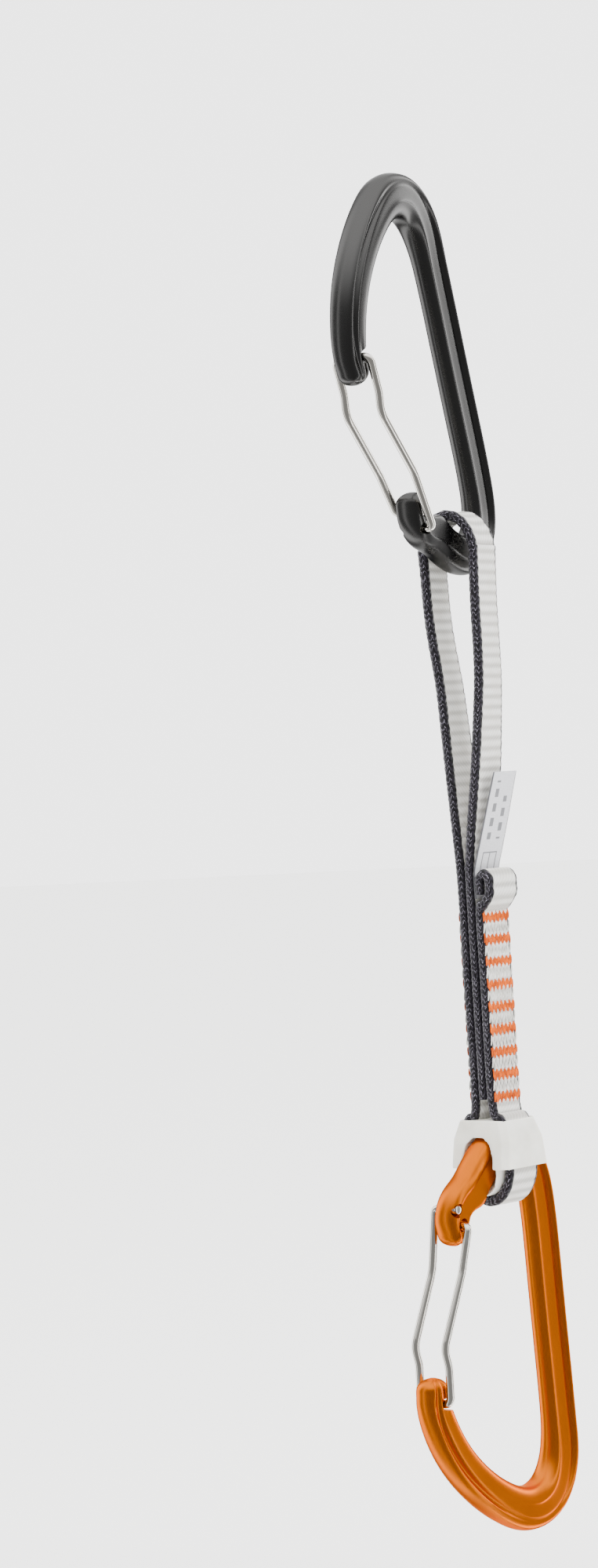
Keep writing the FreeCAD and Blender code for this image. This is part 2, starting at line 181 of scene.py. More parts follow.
def half_ellipse(cy, cz, ry, rz, start, stop, count):
    """Points on an ellipse about (cy, cz), between two angles in degrees."""
    a = np.radians(np.linspace(start, stop, count + 1))
    return [(cy + ry * math.cos(t), cz + rz * math.sin(t)) for t in a]


# ------------------------------------------------------------ meshes
def put(name, data):
    """Adds an object made of the data to the scene."""
    obj = bpy.data.objects.new(name, data)
    bpy.context.scene.collection.objects.link(obj)
    return obj


def outward(obj):
    """Turns every face outward."""
    b = bmesh.new()
    b.from_mesh(obj.data)
    bmesh.ops.recalc_face_normals(b, faces=b.faces[:])
    b.to_mesh(obj.data)
    b.free()


def applied(obj):
    """Turns the object's modifiers into mesh."""
    dg = bpy.context.evaluated_depsgraph_get()
    mesh = bpy.data.meshes.new_from_object(obj.evaluated_get(dg))
    old = obj.data
    obj.modifiers.clear()
    obj.data = mesh
    bpy.data.meshes.remove(old)


def ring_mesh(name, rings, uv=None):
    """Skin over closed rings of equal length, closed at both ends; uv has two numbers a point."""
    rings = np.asarray(rings)
    n, m = rings.shape[:2]
    idx = np.arange(n * m).reshape(n, m)
    nxt = np.roll(idx, -1, axis=1)
    faces = np.stack([idx[:-1], nxt[:-1], nxt[1:], idx[1:]], axis=-1).reshape(-1, 4).tolist()
    verts = np.vstack([rings.reshape(-1, 3), rings[0].mean(0), rings[-1].mean(0)])
    a, b = n * m, n * m + 1
    for k in range(m):
        faces.append((idx[0, (k + 1) % m], idx[0, k], a))
        faces.append((idx[-1, k], idx[-1, (k + 1) % m], b))
    mesh = bpy.data.meshes.new(name)
    mesh.from_pydata((verts * MM).tolist(), [], faces)
    if uv is not None:
        flat = np.vstack([np.asarray(uv).reshape(-1, 2), [uv[0][0], uv[-1][0]]])
        layer = mesh.uv_layers.new(name="weave")
        loops = np.empty(len(mesh.loops), dtype=np.int32)
        mesh.loops.foreach_get("vertex_index", loops)
        layer.data.foreach_set("uv", flat[loops].ravel())
    mesh.validate()
    mesh.shade_smooth()
    return put(name, mesh)


def prism(name, outline, y0, y1):
    """Solid from a closed (x, z) outline, pushed along Y from y0 to y1."""
    n = len(outline)
    verts = [(x * MM, y * MM, z * MM) for y in (y0, y1) for x, z in outline]
    faces = [(i, (i + 1) % n, n + (i + 1) % n, n + i) for i in range(n)]
    faces += [tuple(range(n - 1, -1, -1)), tuple(range(n, 2 * n))]
    mesh = bpy.data.meshes.new(name)
    mesh.from_pydata(verts, [], faces)
    obj = put(name, mesh)
    outward(obj)
    return obj


def polar(centre, radius, deg):
    """The point at a radius and an angle from the centre."""
    a = math.radians(deg)
    return (centre[0] + radius * math.cos(a), centre[1] + radius * math.sin(a))


def arc_slot(p, sweep, r, round_end=True):
    """Outline of a round tool of radius r, carried from p about the gate's axis by the sweep."""
    dx, dz = p[0] - GATE_AXIS[0], p[1] - GATE_AXIS[1]
    reach, start = math.hypot(dx, dz), math.degrees(math.atan2(dz, dx))
    pts = [polar(GATE_AXIS, reach + r, start + sweep * k / 10) for k in range(11)]
    if round_end:
        end = polar(GATE_AXIS, reach, start + sweep)
        pts += [polar(end, r, start + sweep + a) for a in range(15, 180, 15)]
    pts += [polar(GATE_AXIS, reach - r, start + sweep * (1 - k / 10)) for k in range(11)]
    pts += [polar(p, r, start + a) for a in range(195, 360, 15)]
    return pts


# ------------------------------------------------------------ where the two clips sit
def tilted(p, tilt):
    """A point of the clip's plane after the clip is tilted about its origin."""
    c, s = math.cos(math.radians(tilt)), math.sin(math.radians(tilt))
    return Vector((c * p[0] - s * p[1], 0, s * p[0] + c * p[1]))


UPPER = (Matrix.Translation(UPPER_ORIGIN * MM)
         @ Matrix.Rotation(-math.radians(UPPER_TILT), 4, "Y") @ Matrix.Rotation(math.pi, 4, "X"))
LOWER = (Matrix.Translation(LOWER_BAR_AT * MM)
         @ Matrix.Rotation(math.radians(LOWER_TWIST), 4, "Z")
         @ Matrix.Translation(-tilted(LOWER_BAR, LOWER_TILT) * MM)
         @ Matrix.Rotation(-math.radians(LOWER_TILT), 4, "Y"))


# ------------------------------------------------------------ forged bodies
def forged_body(name):
    """The bar with its changing section, the gate's slots and recesses, and the nose's notch."""
    knots, centre = natural_spline(STATIONS[:, :2])
    tables = {k: np.array(v, float) for k, v in SECTIONS.items()}
    keyed = np.array([sum(w * tables[k] for k, w in s.items()) for s in STYLE])
    eased = keyed.copy()
    eased[1:-1] = 0.25 * keyed[:-2] + 0.5 * keyed[1:-1] + 0.25 * keyed[2:]
    keyed[EASED] = eased[EASED]
    rows = np.concatenate([STATIONS[:, 2:4], keyed.reshape(len(STYLE), -1)], axis=1)

    def row(q):
        """Width, thickness and half section at q along the bar."""
        f = np.interp(q, knots, np.arange(len(knots)))
        i = min(int(f), len(knots) - 2)
        return catmull(rows[max(i - 1, 0)], rows[i], rows[i + 1],
                       rows[min(i + 2, len(rows) - 1)], f - i)

    def ring(q, shift=0.0, grow=1.0):
        """The section at q as a closed ring; the rounded ends shift it outward and shrink it."""
        p, d = centre(q)
        r = row(q)
        p = p + d * shift
        out = np.array([-d[1], d[0]])
        half = through(r[2:].reshape(-1, 2), 4, True)
        n, h = half[:, 0] * r[0] * grow, half[:, 1] * r[1] * 0.5 * grow
        shoulder = math.exp(-((q - knots[3] - SHOULDER_PAST) / SHOULDER_SPREAD) ** 2)
        n = np.where(n < 0, n * (1 + shoulder * (n / n.min()) ** 2 / (0.5 * r[0])), n)
        one = np.c_[p[0] + out[0] * n, -h, p[1] + out[1] * n]
        two = one[1:-1][::-1] * (1, -1, 1)
        return np.vstack([one, two])

    cap = [math.radians(a) for a in range(7, 85, 7)]
    rings = [ring(knots[0], -CAP * math.sin(a), math.cos(a)) for a in cap[::-1]]
    rings += [ring(q) for q in np.linspace(knots[0], knots[-1], BODY_RINGS)]
    rings += [ring(knots[-1], CAP * math.sin(a), math.cos(a)) for a in cap]
    body = ring_mesh(name, rings)
    outward(body)

    tools = []
    for x, z, side in HOLES:
        slot = arc_slot((x, z), GATE_OPEN, WIRE_R + HOLE_GAP)
        tools.append(prism("slot", slot, -HOLE_CUT, HOLE_CUT))
        recess = arc_slot((x, z), GATE_OPEN, HEAD_R + HOLE_GAP)
        tools.append(prism("recess", recess, *sorted((side * RECESS_FLOOR, side * HOLE_CUT))))
    notch = arc_slot(CROSSBAR, NOTCH_SWEEP, WIRE_R + NOTCH_GAP, False)
    tools.append(prism("notch", notch, -NOTCH_CUT, NOTCH_CUT))
    for tool in tools:
        cut = body.modifiers.new("cut", "BOOLEAN")
        cut.operation, cut.solver, cut.object = "DIFFERENCE", "EXACT", tool
        applied(body)
        bpy.data.objects.remove(tool)
    body.data.shade_smooth()
    body.data.set_sharp_from_angle(angle=math.radians(SHARP_ANGLE))
    return body


# ------------------------------------------------------------ gate wires
def rounded(pts, radii):
    """A line through the points with its corners turned into arcs."""
    line = [pts[0]]
    for before, c, after, rad in zip(pts, pts[1:], pts[2:], radii):
        u = (before - c) / np.linalg.norm(before - c)
        v = (after - c) / np.linalg.norm(after - c)
        half = math.acos(float(np.clip(u @ v, -1, 1))) / 2
        mid = (u + v) / np.linalg.norm(u + v)
        centre = c + mid * rad / math.sin(half)
        a = c + u * rad / math.tan(half) - centre
        b = c + v * rad / math.tan(half) - centre
        turn = math.pi - 2 * half
        n = max(4, int(math.degrees(turn) / 5))
        for k in range(n + 1):
            f = k / n
            arc = (a * math.sin((1 - f) * turn) + b * math.sin(f * turn)) / math.sin(turn)
            line.append(centre + arc)
    return np.array(line + [pts[-1]])


def gate_wire(name):
    """One length of round wire, bent as in the CAD, with its two headed ends."""
    far, near = HOLES
    bends = [*GATE_BENDS, CROSSBAR]
    pts = [(far[0], -WIRE_END, far[1]), (far[0], LEG_Y, far[1])]
    pts += [(x, LEG_Y, z) for x, z in bends] + [(x, -LEG_Y, z) for x, z in bends[::-1]]
    pts += [(near[0], -LEG_Y, near[1]), (near[0], WIRE_END, near[1])]
    line = rounded([np.array(p, float) for p in pts], BEND_RADII + BEND_RADII[::-1])
    d = np.gradient(line, axis=0)
    d /= np.linalg.norm(d, axis=1)[:, None]
    side = np.array([1.0, 0, 0])
    rings = []
    ang = np.radians(np.arange(0, 360, 18))
    for p, t in zip(line, d):
        side = side - t * (side @ t)
        side /= np.linalg.norm(side)
        other = np.cross(t, side)
        rings.append(p + WIRE_R * (np.cos(ang)[:, None] * side + np.sin(ang)[:, None] * other))
    wire = ring_mesh(name, rings)
    parts = [wire]
    for x, z, way in HOLES:
        head = [[(x + r * math.cos(t), way * (WIRE_END + h), z + r * math.sin(t)) for t in ang]
                for h, r in HEAD_DOME]
        parts.append(ring_mesh("head", head))
    joined = bmesh.new()
    for p in parts:
        outward(p)
        joined.from_mesh(p.data)
    joined.to_mesh(wire.data)
    joined.free()
    for p in parts[1:]:
        bpy.data.objects.remove(p)
    wire.data.shade_smooth()
    return wire


# ------------------------------------------------------------ webbing and tag
def sling_path():
    """(y, z) along the webbing: fold, front layer, closed loop, back layer, arch, middle layer."""
    arc = half_ellipse(0, -LOOP_START, LOOP_Y, LOOP_DROP - LOOP_START, 180, 360, 16)
    side = [(5.3, 7.3), (6.6, 4.6), (LOOP_Y, 1.8)]
    loop = [(-y, z) for y, z in side] + arc + side[::-1]
    ply = -LAYER - 0.45
    front = ply - 2 * FOLD_R
    path = [(ply, FOLD_Z - 3.5)]
    path += half_ellipse(ply - FOLD_R, FOLD_Z, FOLD_R, FOLD_R, 0, 180, 8)
    path += [(front, FOLD_Z - 3.0), (front + 0.7, FOLD_Z - 4.2), (-LAYER - 1.2, FOLD_Z - 6.2)]
    path += [(-LAYER, FOLD_Z - 7.8), (-LAYER, SEWN_MID), (-LAYER, SEWN_END)]
    path += [(y, z + LOWER_BAR_AT.z) for y, z in loop]
    path += [(LAYER, SEWN_END), (LAYER, SEWN_MID), (LAYER, SEWN_TOP)]
    path += [(3.6, -150.0), (4.6, -135.0), (5.6, -118.0), (6.6, -102.0)]
    path += half_ellipse(0, UPPER_BAR_AT.z, ARCH_Y, ARCH_H, 0, 180, 18)
    path += [(-6.6, -102.0), (-5.4, -118.0), (-3.8, -135.0), (-1.7, -150.0), (-0.3, -160.0)]
    path += [(0.0, SEWN_TOP + 1.0), (0.0, SEWN_MID), (0.0, SEWN_END + 1.0)]
    return path


def turned_in(points):
    """Sling coordinates to the object's. The strip turns slowly as it goes down."""
    f = np.clip((points[:, 2] + 100.0) / -60.0, 0, 1)
    a = np.radians(LOWER_TWIST) * f * f * (3 - 2 * f)
    x, y = points[:, 0], points[:, 1]
    return np.c_[np.cos(a) * x - np.sin(a) * y + UPPER_BAR_AT.x, np.sin(a) * x + np.cos(a) * y,
                 points[:, 2]]


def strip(name, path, width, thick, corner, step, shift=None, relief=None):
    """Woven strip along a (y, z) path, with round edges. Its UV is (along, across) in cm."""
    s, p = resample(path, step)
    d = np.gradient(p, axis=0)
    d /= np.linalg.norm(d, axis=1)[:, None]
    normal = np.c_[-d[:, 1], d[:, 0]]
    flat, half = width / 2 - corner, thick / 2
    xs = np.linspace(-flat, flat, 17)
    arc = np.radians(np.linspace(-90, 90, 11)[1:-1])

    def rounding(way):
        """An edge of the section: place across, height, and place across as the UV has it."""
        return [(way * (flat + corner * math.cos(t)), way * half * math.sin(t),
                 way * (flat + half * (1 - abs(math.sin(t))) + corner * 0.55 * math.cos(t)))
                for t in arc]
    prof = [(x, -half, x) for x in xs] + rounding(1) + [(x, half, x) for x in xs[::-1]]
    prof = np.array(prof + rounding(-1))
    rings, uvs = [], []
    for i in range(len(p)):
        x, t, q = prof[:, 0].copy(), prof[:, 1].copy(), prof[:, 2]
        if relief is not None:
            x, t = relief(s[i], p[i, 1], x, t)
        pts = np.c_[x + (shift(s[i]) if shift else 0.0), p[i, 0] + normal[i, 0] * t,
                    p[i, 1] + normal[i, 1] * t]
        rings.append(turned_in(pts))
        uvs.append(np.c_[np.full(len(q), s[i] / 10), q / 10])
    obj = ring_mesh(name, rings, uvs)
    outward(obj)
    return obj


def web_relief(s, z, x, t):
    """The webbing's ribs, cord-like edges, crowned arch and sideways shift near the top bar."""
    rib = RIB_H * math.sin(2 * math.pi * s / RIB_PITCH)
    face = np.clip(1 - (np.abs(x) / (WEB_W / 2)) ** 6, 0, 1)
    sewn = 1.0 if z > -168 else 0.45
    t = t + np.sign(t) * face * (rib * sewn)
    cord = (0.10 * math.sin(2 * math.pi * s / CORD_PITCH)
            + 0.05 * math.sin(2 * math.pi * s / CORD_SLOW_PITCH + 1))
    x = x + np.sign(x) * (1 - face) * cord
    arch = math.exp(-((z + 76.0) / 7.0) ** 2)
    t = t - arch * 0.8 * ((x / 5.5) ** 2 - 0.45)
    free = min(1.0, max(0.0, (z + 118.0) / 24.0))
    return x + ARCH_SHIFT * free * free * (3 - 2 * free), t


TAG_PATH = [(-1.6, -169.0), (-1.6, -164.0), (-2.0, -161.2), (-3.3, -156.5), (-5.2, -149.0),
            (-7.3, -139.5), (-7.7, -137.5)]


def tag_lean(s):
    """How far the tag has moved sideways at s along it."""
    return 3.4 * (min(1.0, max(0.0, (s - 7.0) / 33.0))) ** 1.25


# ------------------------------------------------------------ stitching
def stitches(name, strands, material):
    """Short raised threads; each strand is (x, z0, z1, side, radius, lean)."""
    verts, faces = [], []
    face_y = LAYER + WEB_T / 2
    along, around = 5, 4        # faces along a thread and over it
    for x, z0, z1, side, r, lean in strands:
        base = len(verts)
        for i in range(along + 1):
            f = i / along
            z = z0 + (z1 - z0) * f
            bow = math.sin(math.pi * (0.06 + 0.88 * f)) ** 0.5
            for k in range(around + 1):
                a = math.pi * k / around
                px = x + lean * (f - 0.5) + r * math.cos(a) * (0.55 + 0.45 * bow)
                py = side * (face_y - 0.14 + 0.12 * bow + r * 1.15 * math.sin(a) * bow)
                verts.append((px, py, z))
        for i in range(along):
            for k in range(around):
                a = base + i * (around + 1) + k
                faces.append((a, a + 1, a + around + 2, a + around + 1))
    mesh = bpy.data.meshes.new(name)
    mesh.from_pydata((turned_in(np.array(verts)) * MM).tolist(), [], faces)
    mesh.shade_smooth()
    mesh.materials.append(material)
    obj = put(name, mesh)
    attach(obj, "sling")
    return obj


TACKS, TACK_TOP, TACK_PITCH = 9, -173.8, 5.65
TACK_THREADS, TACK_W, TACK_R = 31, 9.5, 0.20
SEAM_THREADS, SEAM_W, SEAM_R = 15, 9.4, 0.21
TOOTH_PITCH, TOOTH_DEPTH, TACK_HALF = 1.5, 1.25, 0.45
SEAM_START, SEAM_STAGGER = 1.35, 0.5        # from the middle of a tack


def sewn_strands():
    """Toothed orange bars on both faces, and the white rows between them."""
    orange, white = [], []
    for side in (-1, 1):
        for k in range(TACKS):
            mid = TACK_TOP - k * TACK_PITCH
            for i in range(TACK_THREADS):
                x = -TACK_W / 2 + TACK_W * i / (TACK_THREADS - 1) + random.uniform(-0.05, 0.05)
                tooth = abs(((x + 0.3 * (k % 2)) / TOOTH_PITCH) % 1.0 - 0.5) * 2
                top = TACK_HALF + TOOTH_DEPTH * tooth + random.uniform(-0.14, 0.14)
                low = TACK_HALF + TOOTH_DEPTH * (1 - tooth) + random.uniform(-0.14, 0.14)
                lean = random.uniform(-0.12, 0.12)
                orange.append((x, mid - low, mid + top, side, TACK_R, lean))
            if k < TACKS - 1:
                for i in range(SEAM_THREADS):
                    x = -SEAM_W / 2 + SEAM_W * i / (SEAM_THREADS - 1) + random.uniform(-0.08, 0.08)
                    top = mid - SEAM_START - SEAM_STAGGER * (i % 2) + random.uniform(-0.1, 0.1)
                    low = (mid - TACK_PITCH + SEAM_START + SEAM_STAGGER * ((i + 1) % 2)
                           + random.uniform(-0.1, 0.1))
                    white.append((x, low, top, side, SEAM_R, 0.35 * (-1) ** i))
    return orange, white


# ------------------------------------------------------------ materials
class Net:
    """A node tree, with short calls for the nodes used here."""

    def __init__(self, tree):
        self.tree = tree

    def link(self, a, b):
        self.tree.links.new(a, b)

    def feed(self, socket, v):
        """Sets a socket to a value, or links an output to it."""
        if isinstance(v, bpy.types.NodeSocket):
            self.link(v, socket)
        else:
            socket.default_value = v

    def put(self, kind, inputs=None, **props):
        n = self.tree.nodes.new(kind)
        for k, v in props.items():
            setattr(n, k, v)
        for k, v in (inputs or {}).items():
            self.feed(n.inputs[k], v)
        return n

    def math(self, op, *args, clamp=False):
        n = self.put("ShaderNodeMath", dict(enumerate(args)), operation=op, use_clamp=clamp)
        return n.outputs[0]

    def add(self, a, b):
        return self.math("ADD", a, b)

    def mul(self, a, b):
        return self.math("MULTIPLY", a, b)

    def wave(self, v, rate):
        """The sine of v times rate."""
        return self.math("SINE", self.mul(v, rate))

    def ridge(self, v, rate):
        """The absolute sine of v times rate: a row of humps."""
        return self.math("ABSOLUTE", self.wave(v, rate))

    def noise(self, scale, detail=3.0, vector=None, stretch=None):
        """Noise over the object's own coordinates, or over the vector given."""
        vec = vector or self.put("ShaderNodeTexCoord").outputs["Object"]
        if stretch:
            vec = self.put("ShaderNodeMapping", {"Vector": vec, "Scale": stretch}).outputs[0]
        return self.put("ShaderNodeTexNoise", {"Vector": vec, "Scale": scale, "Detail": detail,
                                               "Roughness": 0.5}).outputs["Fac"]

    def remap(self, v, a, b, c, d):
        return self.put("ShaderNodeMapRange", {"Value": v, "From Min": a, "From Max": b,
                                               "To Min": c, "To Max": d}).outputs[0]

    def mix(self, f, a, b):
        n = self.put("ShaderNodeMix", data_type="RGBA")
        for k, v in ((0, f), (6, a), (7, b)):
            self.feed(n.inputs[k], (*v, 1.0) if isinstance(v, tuple) else v)
        return n.outputs[2]


class Surface(Net):
    """A material's node tree, with its shader's sockets."""

    def __init__(self, name):
        self.mat = bpy.data.materials.new(name)
        self.mat.use_nodes = True
        super().__init__(self.mat.node_tree)
        self.bsdf = self.tree.nodes["Principled BSDF"]

    def bump(self, height, strength, distance):
        n = self.put("ShaderNodeBump",
                     {"Height": height, "Strength": strength, "Distance": distance})
        self.link(n.outputs[0], self.bsdf.inputs["Normal"])

    def set(self, **values):
        """Sets the shader's sockets by name; a colour is a tuple of three."""
        for k, v in values.items():
            k = k.replace("_", " ")
            if isinstance(v, tuple) and k != "Subsurface Radius":
                v = (*v, 1.0)
            self.feed(self.bsdf.inputs[k], v)


def anodised(name, colour, low, high, metallic, shine, grazing):
    """Anodised metal whose roughness wanders between low and high."""
    m = Surface(name)
    cloud = m.noise(90.0, 3.0)
    fine = m.noise(1400.0, 2.0)
    rough = m.remap(m.add(cloud, m.mul(fine, 0.5)), 0.45, 1.05, low, high)
    m.set(Metallic=metallic, Base_Color=colour, Roughness=rough, Specular_IOR_Level=shine,
          Specular_Tint=grazing)
    m.bump(m.add(m.mul(cloud, 1.5), m.mul(fine, 0.08)), 0.08, 0.0001)
    return m.mat


def steel():
    """Polished wire, slightly clouded."""
    m = Surface("polished_wire")
    cloud = m.noise(160.0, 3.0)
    m.set(Metallic=1.0, Base_Color=(0.80, 0.77, 0.71),
          Roughness=m.remap(cloud, 0.3, 0.7, 0.10, 0.22))
    m.bump(cloud, 0.1, 0.0001)
    return m.mat


def web_coords(m):
    """The strip's UV, and its two parts: along and across."""
    uv = m.put("ShaderNodeUVMap", uv_map="weave").outputs[0]
    sep = m.put("ShaderNodeSeparateXYZ", {0: uv})
    return uv, sep.outputs[0], sep.outputs[1]


def woven():
    """Flat webbing: white warp with soft ribs and painted shade in the face's hollows, and dark
    edges with painted highlights on their loops.
    """
    m = Surface("sling_weave")
    uv, s, q = web_coords(m)
    edge_q = m.math("ABSOLUTE", q)
    wobble = m.noise(6.0, 2.0, uv)
    edge = m.remap(m.add(edge_q, m.mul(m.math("SUBTRACT", wobble, 0.5), 0.05)),
                   0.405, 0.435, 0.0, 1.0)

    # the face: warp threads in columns, with floats that step from one column to the next
    col = m.mul(q, 28.0)
    warp = m.ridge(col, math.pi)
    lag = m.mul(m.math("FLOOR", col), math.pi * 0.62)
    floats = m.math("SINE", m.add(m.mul(s, 2 * math.pi * 7.7), lag))
    rib = m.wave(s, 2 * math.pi * 3.85)
    face_h = m.add(m.mul(warp, 0.75), m.add(m.mul(floats, 0.22), m.mul(rib, 0.30)))
    # painted shade: the face's colour is darker where its height is low, between warp threads and
    # in the rib troughs, and darker still between the ribs
    white = m.mix(m.remap(face_h, -0.2, 0.95, 0.0, 1.0), (0.34, 0.33, 0.31), (0.74, 0.73, 0.70))
    white = m.mix(m.remap(rib, -1.0, 0.2, 0.30, 0.0), white, (0.22, 0.21, 0.19))
    soil = m.noise(2.2, 4.0, uv)
    white = m.mix(m.remap(soil, 0.35, 0.75, 0.0, 0.35), white, (0.46, 0.43, 0.37))

    # the edges: slanted loops in columns; painted shade between loops, painted highlights on the
    # outermost
    lean = m.add(m.mul(s, 6.9), m.mul(m.ridge(q, 2 * math.pi * 3.6), 0.75))
    loops = m.wave(m.add(lean, m.mul(wobble, 1.8)), 2 * math.pi)
    edge_h = m.add(m.mul(loops, 0.6), m.mul(m.ridge(q, 2 * math.pi * 4.6), 0.9))
    # painted shade: the edge's dark colour is darker still where the loops are low
    dark = m.mix(m.remap(edge_h, 0.0, 1.3, 0.0, 1.0),
                 (0.003, 0.0027, 0.0037), (0.014, 0.011, 0.018))
    # painted highlight: pale streaks on the loop crests of the outermost column, broken up by noise
    highlight_breakup = m.noise(30.0, 3.0, uv, (1.0, 2.0, 1.0))
    outer = m.math("ABSOLUTE", m.math("SUBTRACT", edge_q, 0.565))
    loop_highlight = m.mul(m.remap(m.add(m.mul(loops, 0.5), highlight_breakup), 0.86, 1.04, 0.0, 1.0),
                  m.remap(outer, 0.02, 0.06, 1.0, 0.0))
    broken = m.remap(m.noise(46.0, 1.0, uv), 0.42, 0.56, 0.12, 1.0)
    dark = m.mix(m.mul(loop_highlight, broken), dark, (0.30, 0.28, 0.34))

    m.set(Base_Color=m.mix(edge, white, dark), Roughness=m.remap(edge, 0, 1, 0.72, 0.5),
          Sheen_Weight=0.1, Sheen_Roughness=0.4, Specular_IOR_Level=0.3)
    m.bump(m.add(m.mul(face_h, m.math("SUBTRACT", 1.0, edge)), m.mul(edge_h, edge)),
           0.75, 0.00016)
    return m.mat


def thread(name, light, dark):
    """Sewing thread: fine fibres over a slower change of colour."""
    m = Surface(name)
    fibre = m.noise(2600.0, 2.0, None, (1.0, 1.0, 0.35))
    cloud = m.noise(500.0, 2.0)
    mixed = m.remap(m.add(m.mul(fibre, 0.6), m.mul(cloud, 0.4)), 0.35, 0.65, 0.0, 1.0)
    m.set(Base_Color=m.mix(mixed, dark, light), Roughness=0.6, Specular_IOR_Level=0.12)
    m.bump(fibre, 0.5, 0.0001)
    return m.mat


def satin():
    """Woven tag: silver satin with a plain open-book outline and two rows of dashes."""
    m = Surface("tag_satin")
    uv, s, q = web_coords(m)
    h = m.add(m.mul(m.ridge(s, math.pi * 36.0), 0.6), m.mul(m.ridge(q, math.pi * 30.0), 0.4))
    # painted shade: the ground's colour is darker in the weave's hollows, with some random tone
    # from noise
    ground = m.mix(m.add(m.mul(h, 0.6), m.mul(m.noise(14.0, 3.0, uv), 0.4)),
                   (0.34, 0.34, 0.36), (0.66, 0.66, 0.69))

    def band(v, a, b, soft=0.006):
        """One between a and b, nought outside, with soft ends."""
        return m.mul(m.remap(v, a - soft, a + soft, 0, 1), m.remap(v, b - soft, b + soft, 1, 0))

    def dashes(mid, start, stop, lag):
        """A row of dashes along the tag, at mid across it."""
        dash = m.remap(m.wave(m.add(s, lag), 2 * math.pi * 2.7), -0.35, -0.15, 0, 1)
        return m.mul(m.mul(band(q, mid - 0.07, mid + 0.07), dash), band(s, start, stop))

    rows = m.math("MAXIMUM", dashes(-0.17, 1.5, 3.0, 0.0), dashes(0.19, 1.5, 2.6, 0.13))
    page = m.mul(band(q, -0.235, 0.235), m.math("SUBTRACT", 1.0, band(q, -0.017, 0.017)))
    book = m.math("SUBTRACT", m.mul(band(s, 0.62, 1.18), band(q, -0.27, 0.27)),
                  m.mul(band(s, 0.655, 1.145), page), clamp=True)
    # a dark line along both long edges of the tag, joined with the printed marks below
    edge = m.remap(m.math("ABSOLUTE", q), 0.43, 0.452, 0, 1)
    print_and_edge_line = m.math("MAXIMUM", m.mul(m.math("MAXIMUM", rows, book), 0.8), m.mul(edge, 0.9))
    m.set(Base_Color=m.mix(print_and_edge_line, ground, (0.035, 0.035, 0.042)), Roughness=0.42,
          Specular_IOR_Level=0.6, Sheen_Weight=0.2, Metallic=0.15)
    m.bump(h, 0.35, 0.00008)
    return m.mat


def rubber():
    """Pale moulded rubber that lets a little light in."""
    m = Surface("keeper_rubber")
    cloud = m.noise(130.0, 4.0)
    fine = m.noise(1800.0, 2.0)
    colour = m.mix(m.remap(cloud, 0.35, 0.7, 0, 1), (0.74, 0.725, 0.66), (0.60, 0.58, 0.51))
    m.set(Base_Color=colour, Roughness=m.remap(cloud, 0.3, 0.7, 0.34, 0.5),
          Subsurface_Weight=0.2, Subsurface_Radius=(1.0, 0.8, 0.55), Subsurface_Scale=0.0035,
          Specular_IOR_Level=0.45)
    m.bump(m.add(cloud, m.mul(fine, 0.25)), 0.18, 0.0002)
    return m.mat


# ------------------------------------------------------------ build
def placed(obj, matrix, body, node, material):
    """Moves a clip's piece to where the clip sits, gives it its body and material, and hides the
    CAD node it stands in for.
    """
    obj.data.transform(matrix)
    obj.data.materials.clear()
    obj.data.materials.append(material)
    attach(obj, body)
    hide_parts(node)


dark_metal = anodised("dark_anodised", (0.075, 0.074, 0.073), 0.24, 0.32, 1.0, 0.5,
                      (0.6, 0.6, 0.6))
orange_metal = anodised("orange_anodised", (0.63, 0.142, 0.0003), 0.28, 0.36, 0.93, 0.1,
                        (0.85, 0.36, 0.03))
wire_metal = steel()

upper = forged_body("anchor_forging")
lower = put("rope_forging", upper.data.copy())
placed(upper, UPPER, "anchor_carabiner", "anchor_carabiner_body", dark_metal)
placed(lower, LOWER, "rope_carabiner", "rope_carabiner_body", orange_metal)
upper_wire = gate_wire("anchor_wire")
lower_wire = put("rope_wire", upper_wire.data.copy())
placed(upper_wire, UPPER, "anchor_gate", "anchor_gate_wire", wire_metal)
placed(lower_wire, LOWER, "rope_gate", "rope_gate_wire", wire_metal)

web = strip("sling_strap", sling_path(), WEB_W, WEB_T, WEB_CORNER, WEB_STEP, relief=web_relief)
web.data.materials.append(woven())
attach(web, "sling")
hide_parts("sling_webbing")

tag = strip("sling_tag", TAG_PATH, TAG_W, TAG_T, TAG_CORNER, TAG_STEP, shift=tag_lean)
tag.data.materials.append(satin())
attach(tag, "sling")
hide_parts("sling_label")

orange, white = sewn_strands()
orange_thread = thread("orange_thread", (0.68, 0.115, 0.001), (0.30, 0.035, 0.0005))
white_thread = thread("white_thread", (0.66, 0.65, 0.62), (0.40, 0.385, 0.35))
bars = stitches("tack_threads", orange, orange_thread)
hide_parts("sling_bar_tacks")
stitches("seam_threads", white, white_thread)

# The keeper is the CAD's moulding with its sharp edges softened.
keeper = put("keeper_moulding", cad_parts["rubber_keeper"].data.copy())
keeper.data.materials.clear()
fine = keeper.modifiers.new("fine", "REMESH")
fine.mode, fine.voxel_size = "VOXEL", KEEPER_GRAIN * MM
soft = keeper.modifiers.new("soft", "SMOOTH")
soft.factor, soft.iterations = 0.5, 5
applied(keeper)
keeper.data.shade_smooth()
keeper.data.materials.append(rubber())
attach(keeper, "sling")
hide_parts("rubber_keeper")

# ------------------------------------------------------------ floor and surroundings
# The studio is laid out from the direction of the camera: back points from the object to it.
AZ = -57.0
back = Vector((math.sin(math.radians(AZ)), -math.cos(math.radians(AZ)), 0.0))
right = Vector((-back.y, back.x, 0.0))
up = Vector((0, 0, 1))

